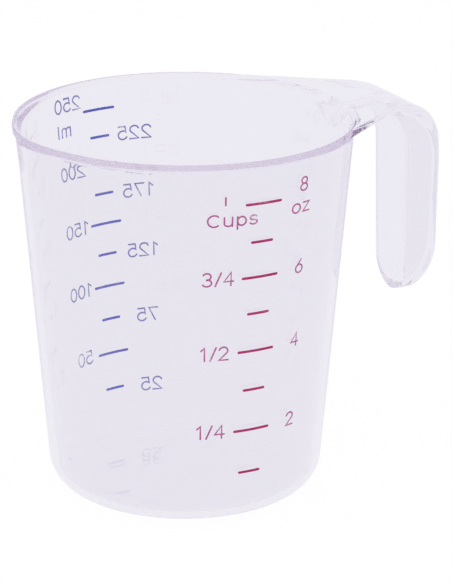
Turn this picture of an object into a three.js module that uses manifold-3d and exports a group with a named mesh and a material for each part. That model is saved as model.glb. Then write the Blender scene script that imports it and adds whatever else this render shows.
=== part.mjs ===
// A clear plastic measuring jug: one moulding with an integral hook handle, and the
// coloured graduation lines of its two scales. Millimetres, +Z up. The origin is the middle
// of the underside, the handle points along +X and the pour lip along -X.

import * as THREE from "three";
import { mergeVertices } from "three/addons/utils/BufferGeometryUtils.js";
import Module from "manifold-3d";

const wasm = await Module();
wasm.setup();

// Bowl
const HEIGHT = 85.6; // underside to the top of the rim
const BASE_RADIUS = 30.6; // outside of the wall, carried down to the underside
const RIM_RADIUS = 37.6; // outside of the wall, carried up to the rim
const WALL = 1.7;
const FLOOR = 1.6;
const BASE_CORNER = 7; // outside radius between the wall and the underside

// Rim
const BEAD_OVERHANG = 0.4; // how far the rim stands out from the wall
const BEAD_HEIGHT = 1.5;
const BEAD_ROUND = 0.6;

// Pour lip
const LIP_REACH = 0.9; // how far the rim is drawn out at the lip
const LIP_DEPTH = 12; // how far below the rim the lip begins
const LIP_HALF_ANGLE = THREE.MathUtils.degToRad(28);
const LIP_STEPS = 4;

// Handle, seen from above
const FLARE_ANGLE = THREE.MathUtils.degToRad(53); // where the plate leaves the rim
const FLARE_FILLET = 13;
const NECK_HALF = 11.5; // half the width of the plate past the flare
const NECK_CORNER = 10;

// Handle, seen from the side
const HANDLE_REACH = 63; // jug axis to the outside of the grip, at the bend
const GRIP_LEAN = 0.8; // how far each face of the grip leans in towards its end
const GRIP_LENGTH = 48; // top of the rim to the end of the grip
const GRIP_DEPTH = 10.6; // outside of the grip to the edges that face the jug
const BEND_RADIUS = 16;
const INNER_BEND_RADIUS = 11;
const GRIP_WALL = 2; // the grip's outside wall and its closed end
const TIP_RISE = 11; // height over which the outside of the grip turns in to its end
const TIP_ROUND = 14; // where that turn begins
const TIP_HEEL = 5; // where it meets the end
const TIP_DEPTH = 3.5; // what is left of the grip's depth at the end
const TIP_EDGE = 1; // at the edge of the end that faces the jug

// Handle, seen from its end
const GRIP_HALF = 8; // half the width of the grip at the bend
const TIP_HALF = 7.2; // half the width just above the rounded end
const SIDE_WALL = 1.8;
const SHOULDER_FILLET = 8; // between the grip's sides and the plate

// Tapered round web under the plate, from the wall to the neck
const GUSSET_ROOT = 5; // its depth and half its width at the wall
const GUSSET_TIP = 1.2;
const GUSSET_LENGTH = 16;
const GUSSET_SIDES = 24;

// Graduation lines
const OUNCE_ML = 29.57;
const CUP_ML = 240;
const OUNCE_LINES = 8; // the top one is the cup line
const METRIC_STEP_ML = 25;
const METRIC_LINES = 10;
const BRIM_SHARE = 0.8984; // what the top metric line marks, of all that the jug holds
const OUNCE_AZIMUTH = THREE.MathUtils.degToRad(-89);
const METRIC_AZIMUTH = THREE.MathUtils.degToRad(97);
const LONG_LINE = 9;
const SHORT_LINE = 5.5;
const LINE_WIDTH = 0.75;
const FOIL = 0.25; // thickness of a line
const FOIL_CLEARANCE = 0.05; // between a line and the wall that carries it

// Fineness of the facets
const ROUND_SEGMENTS = 96;
const ARC_STEP = THREE.MathUtils.degToRad(15);
const HALVINGS = 40; // steps in finding a fill height

const PLATE = BEAD_HEIGHT; // the handle's top plate runs on from the rim bead
const FULL_TURN = 2 * Math.PI;
const TAPER = (RIM_RADIUS - BASE_RADIUS) / HEIGHT;
const WELD = 1e-4;

const plastic = new THREE.MeshStandardMaterial({
  color: 0xe9e6f2,
  roughness: 0.08,
  metalness: 0,
  transparent: true,
  opacity: 0.35,
});
const redFoil = new THREE.MeshStandardMaterial({ color: 0xb3194f, roughness: 0.4, metalness: 0 });
const blueFoil = new THREE.MeshStandardMaterial({ color: 0x3450a8, roughness: 0.4, metalness: 0 });

// Outside radius of the straight wall at a height.
function wallRadius(z) {
  return BASE_RADIUS + TAPER * z;
}

// How the edges at a corner run: unit vectors to both neighbours and half the angle between.
function cornerEdges(corners, i) {
  const at = (k) => new THREE.Vector2(...corners[(k + corners.length) % corners.length].slice(0, 2));
  const toBefore = at(i - 1).sub(at(i));
  const toAfter = at(i + 1).sub(at(i));
  const length = toAfter.length();
  toBefore.normalize();
  toAfter.normalize();
  const half = Math.acos(THREE.MathUtils.clamp(toBefore.dot(toAfter), -1, 1)) / 2;
  return { corner: at(i), toBefore, toAfter, half, length };
}

// Fillet radii, drawn in where two fillets would run into each other on one edge.
function fittedRadii(corners) {
  const radii = corners.map(([, , radius]) => radius);
  const edges = corners.map((_, i) => cornerEdges(corners, i));
  const reach = radii.map((radius, i) => radius / Math.tan(edges[i].half));
  const share = radii.map(() => 1);
  edges.forEach(({ length }, i) => {
    const next = (i + 1) % corners.length;
    const room = length / (reach[i] + reach[next] || length);
    share[i] = Math.min(share[i], room);
    share[next] = Math.min(share[next], room);
  });
  return radii.map((radius, i) => radius * share[i]);
}

// A line through corners given as [x, y, fillet radius], each rounded by an arc.
function outline(corners) {
  const radii = fittedRadii(corners);
  const points = [];
  const add = (point) => {
    const last = points[points.length - 1];
    if (!last || last.distanceTo(point) > WELD) points.push(point);
  };
  corners.forEach((_, i) => {
    const { corner, toBefore, toAfter, half } = cornerEdges(corners, i);
    if (radii[i] === 0) {
      add(corner);
      return;
    }
    const bisector = toBefore.clone().add(toAfter).normalize();
    const centre = corner.clone().addScaledVector(bisector, radii[i] / Math.sin(half));
    const spoke = corner.clone().addScaledVector(toBefore, radii[i] / Math.tan(half)).sub(centre);
    const sweep = -Math.sign(toBefore.cross(toAfter)) * (Math.PI - 2 * half);
    const steps = Math.max(1, Math.ceil(Math.abs(sweep) / ARC_STEP));
    for (let k = 0; k <= steps; k += 1) {
      add(spoke.clone().rotateAround(new THREE.Vector2(), (sweep * k) / steps).add(centre));
    }
  });
  return points;
}

// A closed geometry as a solid that can be joined and cut.
function solid(geometry) {
  geometry.deleteAttribute("normal");
  geometry.deleteAttribute("uv");
  const merged = mergeVertices(geometry, WELD);
  const index = merged.index.array;
  const triangles = [];
  for (let i = 0; i < index.length; i += 3) {
    const [a, b, c] = [index[i], index[i + 1], index[i + 2]];
    if (a !== b && b !== c && c !== a) triangles.push(a, b, c);
  }
  return new wasm.Manifold(
    new wasm.Mesh({
      numProp: 3,
      vertProperties: new Float32Array(merged.attributes.position.array),
      triVerts: new Uint32Array(triangles),
    }),
  );
}

// A finished solid as a geometry for a mesh.
function toGeometry(manifold) {
  const mesh = manifold.getMesh();
  const geometry = new THREE.BufferGeometry();
  geometry.setAttribute("position", new THREE.BufferAttribute(mesh.vertProperties, mesh.numProp));
  geometry.setIndex(new THREE.BufferAttribute(mesh.triVerts, 1));
  geometry.computeVertexNormals();
  return geometry;
}

// The pour lip draws the wall out along -X, fading down the wall and round the rim.
function drawOutLip(geometry) {
  const position = geometry.attributes.position;
  for (let i = 0; i < position.count; i += 1) {
    const [x, y, z] = [position.getX(i), position.getY(i), position.getZ(i)];
    const rise = THREE.MathUtils.smoothstep(z, HEIGHT - LIP_DEPTH, HEIGHT);
    const turn = Math.abs(Math.atan2(y, -x));
    const swell = turn < LIP_HALF_ANGLE ? Math.cos((turn / LIP_HALF_ANGLE) * (Math.PI / 2)) ** 2 : 0;
    const radius = Math.hypot(x, y);
    const growth = radius > 0 ? 1 + (LIP_REACH * rise * swell) / radius : 1;
    position.setXY(i, x * growth, y * growth);
  }
  return geometry;
}

// A profile of [radius, height] points turned round the jug's axis.
function revolve(profile) {
  const geometry = new THREE.LatheGeometry(profile, ROUND_SEGMENTS);
  return drawOutLip(geometry.rotateX(Math.PI / 2));
}

// Points down one face of the wall through the lip, set in from the outside by an offset.
function lipPoints(offset) {
  const points = [];
  for (let i = 0; i <= LIP_STEPS; i += 1) {
    const z = HEIGHT - BEAD_HEIGHT - ((LIP_DEPTH - BEAD_HEIGHT) * i) / LIP_STEPS;
    points.push([wallRadius(z) - offset, z, 0]);
  }
  return points;
}

// The inside of the jug from the axis of its floor up to a height.
function innerProfile(top) {
  const corner = BASE_CORNER - WALL;
  return outline([
    [0, FLOOR, 0],
    [wallRadius(FLOOR) - WALL, FLOOR, corner],
    [wallRadius(top) - WALL, top, 0],
  ]);
}

// Floor, wall, rim and pour lip in one turned section.
function bowl() {
  const inner = wallRadius(HEIGHT) - WALL;
  const beadRadius = RIM_RADIUS + BEAD_OVERHANG;
  const beadFoot = HEIGHT - BEAD_HEIGHT;
  const profile = outline([
    [0, 0, 0],
    [BASE_RADIUS, 0, BASE_CORNER],
    ...lipPoints(0).reverse(),
    [beadRadius, beadFoot, BEAD_OVERHANG / 2],
    [beadRadius, HEIGHT, BEAD_ROUND],
    [inner, HEIGHT, BEAD_ROUND],
    ...lipPoints(WALL),
    [wallRadius(FLOOR) - WALL, FLOOR, BASE_CORNER - WALL],
    [0, FLOOR, 0],
  ]);
  return solid(revolve(profile));
}

// What the jug holds, carried up past the rim to clear the handle's plate away from it.
function mouth() {
  const top = HEIGHT + BEAD_HEIGHT;
  const rim = wallRadius(HEIGHT) - WALL + BEAD_ROUND;
  const profile = [...innerProfile(HEIGHT - BEAD_HEIGHT)];
  profile.push(new THREE.Vector2(rim, HEIGHT - BEAD_HEIGHT));
  profile.push(new THREE.Vector2(rim, top));
  profile.push(new THREE.Vector2(0, top));
  return solid(revolve(profile));
}

function extrude(points, depth) {
  return new THREE.ExtrudeGeometry(new THREE.Shape(points), { depth, bevelEnabled: false });
}

// The three outlines of the handle, each carried right through, meet in its outer form. The
// same outlines drawn in by the wall thicknesses meet in the hollow that faces the jug.
function handleFromAbove(inset, reach) {
  const radius = RIM_RADIUS + BEAD_OVERHANG - inset;
  const half = NECK_HALF - inset;
  const leave = new THREE.Vector2(radius * Math.cos(FLARE_ANGLE), radius * Math.sin(FLARE_ANGLE));
  const run = (leave.y - half) / Math.cos(FLARE_ANGLE);
  const neck = leave.x + run * Math.sin(FLARE_ANGLE);
  const side = [
    [leave.x, leave.y, 0],
    [neck, half, FLARE_FILLET + inset],
    [reach, half, Math.max(NECK_CORNER - inset, BEAD_ROUND)],
  ];
  const points = outline([...side, ...side.map(([x, y, r]) => [x, -y, r]).reverse()]);
  return solid(extrude(points, HEIGHT));
}

// Corners down the outside of the grip from the bend to its end, set in by a wall.
function gripOutside(inset) {
  const end = HEIGHT - GRIP_LENGTH;
  const reach = HANDLE_REACH - inset;
  const heel = HANDLE_REACH - GRIP_DEPTH + GRIP_LEAN + TIP_DEPTH;
  const slope = (HANDLE_REACH - GRIP_LEAN - heel) / TIP_RISE;
  return [
    [reach, HEIGHT - inset, BEND_RADIUS - inset],
    [reach - GRIP_LEAN, end + TIP_RISE, TIP_ROUND - inset],
    [heel - inset * (1 - slope), end + inset, Math.max(TIP_HEEL - inset, TIP_EDGE)],
  ];
}

function throughSide(corners) {
  const geometry = extrude(outline(corners), 4 * RIM_RADIUS).rotateX(Math.PI / 2);
  return solid(geometry.translate(0, 2 * RIM_RADIUS, 0));
}

function handleFromSide() {
  const under = HEIGHT - PLATE;
  const face = HANDLE_REACH - GRIP_DEPTH;
  return throughSide([
    [0, HEIGHT, 0],
    ...gripOutside(0),
    [face + GRIP_LEAN, HEIGHT - GRIP_LENGTH, TIP_EDGE],
    [face, under, INNER_BEND_RADIUS],
    [0, under, 0],
  ]);
}

// Everything inside the line of the grip's outside, back to the jug's axis.
function filledFromSide(inset) {
  return throughSide([
    [0, HEIGHT - inset, 0],
    ...gripOutside(inset),
    [0, HEIGHT - GRIP_LENGTH + inset, 0],
  ]);
}

function handleFromEnd(inset) {
  const end = HEIGHT - GRIP_LENGTH + inset;
  const plateFoot = HEIGHT - PLATE + inset;
  const wide = 2 * RIM_RADIUS;
  const tip = TIP_HALF - inset;
  const side = [
    [tip, end, tip],
    [GRIP_HALF - inset, plateFoot, SHOULDER_FILLET + inset],
    [wide, plateFoot, 0],
    [wide, HEIGHT + inset, 0],
  ];
  const points = outline([...side, ...side.map(([y, z, r]) => [-y, z, r]).reverse()]);
  const turn = new THREE.Matrix4().makeBasis(
    new THREE.Vector3(0, 1, 0),
    new THREE.Vector3(0, 0, 1),
    new THREE.Vector3(1, 0, 0),
  );
  return solid(extrude(points, 2 * HANDLE_REACH).applyMatrix4(turn));
}

function handle() {
  const form = handleFromAbove(0, HANDLE_REACH).intersect(handleFromSide()).intersect(handleFromEnd(0));
  const hollow = handleFromAbove(SIDE_WALL, HANDLE_REACH - GRIP_WALL)
    .intersect(filledFromSide(GRIP_WALL))
    .intersect(handleFromEnd(SIDE_WALL));
  return form.subtract(hollow).add(gusset());
}

// The web under the plate, sunk into the wall at its root and trimmed to the handle's outside.
function gusset() {
  const root = wallRadius(HEIGHT) - WALL;
  const geometry = new THREE.CylinderGeometry(GUSSET_TIP, GUSSET_ROOT, GUSSET_LENGTH, GUSSET_SIDES);
  geometry.rotateZ(-Math.PI / 2).translate(root + GUSSET_LENGTH / 2, 0, HEIGHT - PLATE);
  return solid(geometry).intersect(handleFromAbove(0, HANDLE_REACH)).intersect(filledFromSide(0));
}

function jugBody() {
  const moulding = bowl().add(handle().subtract(mouth()));
  const mesh = new THREE.Mesh(toGeometry(moulding), plastic);
  mesh.name = "jug_body";
  return mesh;
}

// What the inside holds between two points of its profile.
function sliceVolume(low, high) {
  return (Math.PI / 3) * (high.y - low.y) * (low.x ** 2 + low.x * high.x + high.x ** 2);
}

// The volume that is marked as one millilitre: 1000 cubic millimetres at the real size.
function markedMillilitre() {
  const profile = innerProfile(HEIGHT);
  const brim = profile.slice(1).reduce((sum, point, i) => sum + sliceVolume(profile[i], point), 0);
  return (BRIM_SHARE * brim) / (METRIC_LINES * METRIC_STEP_ML);
}

// How high a marked volume fills the jug: its slice of the inside, then by halving in it.
function fillHeight(millilitres) {
  const target = millilitres * markedMillilitre();
  const profile = innerProfile(HEIGHT);
  let next = 1;
  let filled = 0;
  while (filled + sliceVolume(profile[next - 1], profile[next]) < target) {
    filled += sliceVolume(profile[next - 1], profile[next]);
    next += 1;
  }
  const [low, high] = [profile[next - 1], profile[next]];
  let [down, up] = [0, 1];
  for (let i = 0; i < HALVINGS; i += 1) {
    const part = (down + up) / 2;
    if (filled + sliceVolume(low, low.clone().lerp(high, part)) < target) down = part;
    else up = part;
  }
  return low.y + (high.y - low.y) * down;
}

// One line of foil: a thin band bent round the wall, level with the volume that it marks.
function graduationLine(name, millilitres, length, azimuth, material) {
  const level = fillHeight(millilitres);
  const inside = wallRadius(level + LINE_WIDTH / 2) + FOIL_CLEARANCE;
  const outside = inside + FOIL;
  const halfTurn = length / inside / 2;
  const shape = new THREE.Shape();
  shape.absarc(0, 0, outside, azimuth - halfTurn, azimuth + halfTurn, false);
  shape.absarc(0, 0, inside, azimuth + halfTurn, azimuth - halfTurn, true);
  const geometry = new THREE.ExtrudeGeometry(shape, {
    depth: LINE_WIDTH,
    bevelEnabled: false,
    curveSegments: Math.max(4, Math.ceil((2 * halfTurn * ROUND_SEGMENTS) / FULL_TURN)),
  });
  const mesh = new THREE.Mesh(geometry, material);
  mesh.name = name;
  mesh.position.z = level - LINE_WIDTH / 2;
  return mesh;
}

function ounceScale() {
  const scale = new THREE.Group();
  for (let ounce = 1; ounce <= OUNCE_LINES; ounce += 1) {
    const millilitres = ounce === OUNCE_LINES ? CUP_ML : ounce * OUNCE_ML;
    const length = ounce % 2 === 0 ? LONG_LINE : SHORT_LINE;
    scale.add(graduationLine(`ounce_line_${ounce}`, millilitres, length, OUNCE_AZIMUTH, redFoil));
  }
  return scale;
}

function metricScale() {
  const scale = new THREE.Group();
  for (let i = 1; i <= METRIC_LINES; i += 1) {
    const millilitres = i * METRIC_STEP_ML;
    const length = i % 2 === 0 ? LONG_LINE : SHORT_LINE;
    const name = `millilitre_line_${millilitres}`;
    scale.add(graduationLine(name, millilitres, length, METRIC_AZIMUTH, blueFoil));
  }
  return scale;
}

const jug = new THREE.Group();
jug.add(jugBody(), ounceScale(), metricScale());

export default jug;
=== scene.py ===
"""Looks of a small clear measuring jug: its moulding, its two foil scales and the studio.

Sizes are held in millimetres, in the same frame as the CAD model: the origin is the middle of
the underside, +Z is up, the handle points along +X and the pour lip along -X. They become
metres when a mesh is made.
"""

import logging
import math
from collections.abc import Callable, Sequence
from dataclasses import dataclass, field
from enum import Enum
from itertools import pairwise

import bmesh
import bpy
from mathutils import Matrix, Vector


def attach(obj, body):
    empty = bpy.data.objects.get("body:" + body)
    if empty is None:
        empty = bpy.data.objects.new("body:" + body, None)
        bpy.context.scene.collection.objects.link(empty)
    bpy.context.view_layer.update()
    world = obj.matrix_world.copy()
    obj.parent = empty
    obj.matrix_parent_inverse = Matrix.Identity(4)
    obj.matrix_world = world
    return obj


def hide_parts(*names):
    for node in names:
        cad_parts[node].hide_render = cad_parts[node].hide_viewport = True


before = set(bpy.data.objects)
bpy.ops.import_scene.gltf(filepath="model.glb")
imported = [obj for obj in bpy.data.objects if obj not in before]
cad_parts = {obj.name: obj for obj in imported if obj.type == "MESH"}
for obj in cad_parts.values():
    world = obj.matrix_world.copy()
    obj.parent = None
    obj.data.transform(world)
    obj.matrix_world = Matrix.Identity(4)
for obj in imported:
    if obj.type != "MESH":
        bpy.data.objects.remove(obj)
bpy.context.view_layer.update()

BODY = "root"
MM = 0.001
WELD = 0.001  # points closer than this are one point
FINE = 0.05  # roundings and steps smaller than this are left out
TOUCH = 1e-6  # slack in asking whether a point lies on a line
PARALLEL = 1e-9  # directions that cross by less than this run side by side
LOG = logging.getLogger("measuring_jug")

Point2 = tuple[float, float]
Point3 = tuple[float, float, float]
Corner = tuple[float, float, float]
Colour = tuple[float, float, float]
Feeds = dict[str | int, bpy.types.NodeSocket | float | Colour]
Setting = str | bool | bpy.types.NodeTree

WHITE: Colour = (1.0, 1.0, 1.0)


def spread(start: float, stop: float, count: int) -> list[float]:
    """Returns evenly spaced values from start to stop, both included."""
    return [start + (stop - start) * i / (count - 1) for i in range(count)]


def between(a: Point2, b: Point2, share: float) -> Point2:
    """Returns the point at a share of the way from a to b."""
    return (a[0] + (b[0] - a[0]) * share, a[1] + (b[1] - a[1]) * share)


def firm(size: float) -> float:
    """Returns a size, or nothing where it is too small to show."""
    return size if size >= FINE else 0.0


def run(a: Point2, b: Point2, count: int) -> list[Point2]:
    """Returns points from a to b, evenly spread, or all but the first at b where the two are close.

    Args:
        a: First point.
        b: Last point.
        count: How many points to give.

    Returns:
        The points.
    """
    if math.dist(a, b) < count * FINE:
        return [a] + [b] * (count - 1)
    return [between(a, b, share) for share in spread(0.0, 1.0, count)]


def ease(value: float, low: float, high: float) -> float:
    """Returns 0 below low, 1 above high and a smooth rise between."""
    share = min(max((value - low) / (high - low), 0.0), 1.0)
    return share * share * (3 - 2 * share)


def soft_min(a: float, b: float, blend: float) -> float:
    """Returns the smaller of two lengths, rounded off where they are nearly equal."""
    near = max(blend - abs(a - b), 0.0) / blend
    return min(a, b) - near * near * blend / 4


def bent_corner(start: Point2, corner: Point2, end: Point2, count: int) -> list[Point2]:
    """Returns points round a corner, tangent to both of its edges.

    Args:
        start: Where the rounding leaves the first edge.
        corner: The sharp corner.
        end: Where the rounding joins the second edge.
        count: How many points to give, both ends included.

    Returns:
        Points from start to end.
    """
    return [
        between(between(start, corner, t), between(corner, end, t), t)
        for t in spread(0.0, 1.0, count)
    ]


def rounded_line(corners: Sequence[Corner], step: float) -> list[Point2]:
    """Returns a line through corners, each rounded by an arc.

    Args:
        corners: Corners as (x, y, radius); the two ends keep their place.
        step: Largest turn between two points of an arc, in radians.

    Returns:
        Points along the line.
    """
    points = [corners[0][:2]]
    for before, (x, y, radius), after in zip(corners, corners[1:], corners[2:]):
        here = Vector((x, y))
        back = (Vector(before[:2]) - here).normalized()
        on = (Vector(after[:2]) - here).normalized()
        half = back.angle(on) / 2
        centre = here + (back + on).normalized() * radius / math.sin(half)
        spoke = here + back * radius / math.tan(half) - centre
        turn = -math.copysign(math.pi - 2 * half, back.cross(on))
        steps = max(1, math.ceil(abs(turn) / step))
        for k in range(steps + 1):
            points.append(tuple(centre + Matrix.Rotation(turn * k / steps, 2) @ spoke))
    points.append(corners[-1][:2])
    return points


def x_at(line: Sequence[Point2], y: float) -> float:
    """Returns where a line that keeps rising or falling crosses a height.

    Args:
        line: The line's points.
        y: The height.

    Returns:
        The place across, or that of the nearer end where the line doesn't reach the height.
    """
    for a, b in pairwise(line):
        if min(a[1], b[1]) <= y <= max(a[1], b[1]) and a[1] != b[1]:
            return a[0] + (b[0] - a[0]) * (y - a[1]) / (b[1] - a[1])
    return line[0][0] if abs(y - line[0][1]) < abs(y - line[-1][1]) else line[-1][0]


def reach_along(line: Sequence[Point2], start: Point2, way: Point2) -> float:
    """Returns how far a ray runs from start before it meets a line.

    Args:
        line: The line's points.
        start: Where the ray starts.
        way: Its direction, of length 1.

    Returns:
        The distance to the nearest crossing.
    """
    found = []
    for a, b in pairwise(line):
        ex, ey = b[0] - a[0], b[1] - a[1]
        wide = way[0] * ey - way[1] * ex
        if abs(wide) < PARALLEL:
            continue
        sx, sy = a[0] - start[0], a[1] - start[1]
        length = (sx * ey - sy * ex) / wide
        share = (sx * way[1] - sy * way[0]) / wide
        if length > 0 and -TOUCH <= share <= 1 + TOUCH:
            found.append(length)
    return min(found)


class MeshMaker:
    """Gathers points and faces in millimetres and turns them into an object."""

    def __init__(self, name: str) -> None:
        """Starts an empty mesh with the name of its object.

        Args:
            name: Name of the object.
        """
        self.name = name
        self.points: list[Point3] = []
        self.faces: list[tuple[int, ...]] = []

    def add_row(self, row: Sequence[Point3]) -> list[int]:
        """Adds points and returns their numbers.

        Args:
            row: The points.

        Returns:
            The numbers of the points in the mesh.
        """
        first = len(self.points)
        self.points.extend(row)
        return list(range(first, len(self.points)))

    def bridge(self, a: Sequence[int], b: Sequence[int], closed: bool = False) -> None:
        """Fills the strip between two rows of equal length.

        Args:
            a: Point numbers of one row.
            b: Point numbers of the other row.
            closed: Whether the rows run round into themselves.
        """
        count = len(a)
        for i in range(count if closed else count - 1):
            j = (i + 1) % count
            self.faces.append((a[i], a[j], b[j], b[i]))

    def finish(self, sharp_angle: float) -> bpy.types.Object:
        """Welds the mesh, turns it outward and makes its object.

        Args:
            sharp_angle: Edges that turn by more than this, in radians, stay sharp.

        Returns:
            The new object, linked to the scene.
        """
        mesh = bpy.data.meshes.new(self.name)
        mesh.from_pydata([Vector(p) * MM for p in self.points], [], self.faces)
        work = bmesh.new()
        work.from_mesh(mesh)
        bmesh.ops.remove_doubles(work, verts=work.verts, dist=WELD * MM)
        bmesh.ops.dissolve_degenerate(work, edges=work.edges, dist=WELD * MM)
        bmesh.ops.recalc_face_normals(work, faces=work.faces)
        open_edges = sum(not edge.is_manifold for edge in work.edges)
        if open_edges:
            LOG.warning("%s has %d open edges", self.name, open_edges)
        work.to_mesh(mesh)
        work.free()
        mesh.shade_smooth()
        mesh.set_sharp_from_angle(angle=sharp_angle)
        made = bpy.data.objects.new(self.name, mesh)
        bpy.context.scene.collection.objects.link(made)
        return made


def feed(tree: bpy.types.NodeTree, node: bpy.types.Node, feeds: Feeds) -> None:
    """Feeds a node's inputs.

    Args:
        tree: The node tree that holds the node.
        node: The node.
        feeds: What each input takes, by name or number: another node's output, or a value.
    """
    for socket, source in feeds.items():
        if isinstance(source, bpy.types.NodeSocket):
            tree.links.new(source, node.inputs[socket])
        elif isinstance(source, tuple):
            node.inputs[socket].default_value = (*source, 1.0)
        else:
            node.inputs[socket].default_value = source


def add_node(
    tree: bpy.types.NodeTree, kind: str, feeds: Feeds, **settings: Setting
) -> bpy.types.bpy_prop_collection:
    """Adds a shader node, sets it and feeds its inputs.

    Args:
        tree: The node tree that takes the node.
        kind: Kind of node, without the ShaderNode that all kinds start with.
        feeds: What each input takes, by name or number: another node's output, or a value.
        **settings: The node's own settings.

    Returns:
        The new node's outputs.
    """
    node = tree.nodes.new(f"ShaderNode{kind}")
    for setting, value in settings.items():
        setattr(node, setting, value)
    feed(tree, node, feeds)
    return node.outputs


def new_material(name: str) -> bpy.types.Material:
    """Returns a new material with the usual shader and output nodes.

    Args:
        name: Name of the material.

    Returns:
        The new material.
    """
    made = bpy.data.materials.new(name)
    made.use_nodes = True
    return made


@dataclass(frozen=True)
class PatchyCover:
    """Uneven cover, for foil that took badly and for worn gloss.

    Attributes:
        grain: Usual scale of the specks, per metre.
        patch: Scale of the broad patches, per metre.
        bare: Usual share of the cover that is missing in the specks.
        grain_detail: How many finer layers the specks have.
        grain_broken: How strong those layers are.
        patch_detail: How many finer layers the patches have.
        patch_share: Share of the patches in the whole.
        thick: Noise between which the cover grows from thin to thick.
        whole: Noise between which the specks close.
    """

    grain: float = 1000.0
    patch: float = 150.0
    bare: float = 0.2
    grain_detail: float = 3.0
    grain_broken: float = 0.6
    patch_detail: float = 1.0
    patch_share: float = 0.5
    thick: Point2 = (0.36, 0.58)
    whole: Point2 = (0.36, 0.5)

    def group(self) -> bpy.types.NodeTree:
        """Makes the node group that materials share.

        Returns:
            A group with inputs Grain, Patch and Bare and outputs Cover and Opaque.
        """
        tree = bpy.data.node_groups.new("patchy_cover", "ShaderNodeTree")
        for name, usual in (("Grain", self.grain), ("Patch", self.patch), ("Bare", self.bare)):
            socket = tree.interface.new_socket(name, in_out="INPUT", socket_type="NodeSocketFloat")
            socket.default_value = usual
        for name in ("Cover", "Opaque"):
            tree.interface.new_socket(name, in_out="OUTPUT", socket_type="NodeSocketFloat")
        given = tree.nodes.new("NodeGroupInput").outputs
        spot = add_node(tree, "TexCoord", {})["Object"]
        specks = {
            "Vector": spot,
            "Scale": given["Grain"],
            "Detail": self.grain_detail,
            "Roughness": self.grain_broken,
        }
        patches = {"Vector": spot, "Scale": given["Patch"], "Detail": self.patch_detail}
        layers = {
            "Factor": self.patch_share,
            "A": add_node(tree, "TexNoise", specks)["Fac"],
            "B": add_node(tree, "TexNoise", patches)["Fac"],
        }
        noise = add_node(tree, "Mix", layers)["Result"]
        cover, closed = (
            add_node(tree, "MapRange", {"Value": noise, "From Min": a, "From Max": b})["Result"]
            for a, b in (self.thick, self.whole)
        )
        gap = add_node(tree, "Math", {0: 1.0, 1: closed}, operation="SUBTRACT")["Value"]
        lost = add_node(tree, "Math", {0: gap, 1: given["Bare"]}, operation="MULTIPLY")["Value"]
        opaque = add_node(tree, "Math", {0: 1.0, 1: lost}, operation="SUBTRACT", use_clamp=True)
        put = tree.nodes.new("NodeGroupOutput")
        feed(tree, put, {"Cover": cover, "Opaque": opaque["Value"]})
        return tree


@dataclass(frozen=True)
class Ink:
    """A foil's colours and how unevenly it took.

    Attributes:
        name: Name of its material.
        full: Colour where it lies thick.
        thin: Colour where it lies thin.
        bare: How much of it is missing in specks, from 0 to 1.
        grain: Scale of the specks, per metre.
        rough: Roughness of its face.
        refraction: Index of refraction.
        shine: Strength of its reflection.
    """

    name: str
    full: Colour
    thin: Colour
    bare: float
    grain: float = 1400.0
    rough: float = 0.4
    refraction: float = 1.45
    shine: float = 0.3

    def material(self, patchy: bpy.types.NodeTree) -> bpy.types.Material:
        """Returns the foil's material, with its unevenness from the shared group.

        Args:
            patchy: The node group that makes uneven cover.

        Returns:
            The new material.
        """
        made = new_material(self.name)
        tree = made.node_tree
        cover = add_node(tree, "Group", {"Grain": self.grain, "Bare": self.bare}, node_tree=patchy)
        mixed = {"Factor": cover["Cover"], "A": self.thin, "B": self.full}
        face = {
            "Base Color": add_node(tree, "Mix", mixed, data_type="RGBA")["Result"],
            "Roughness": self.rough,
            "IOR": self.refraction,
            "Specular IOR Level": self.shine,
            "Alpha": cover["Opaque"],
        }
        feed(tree, tree.nodes["Principled BSDF"], face)
        return made


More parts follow.
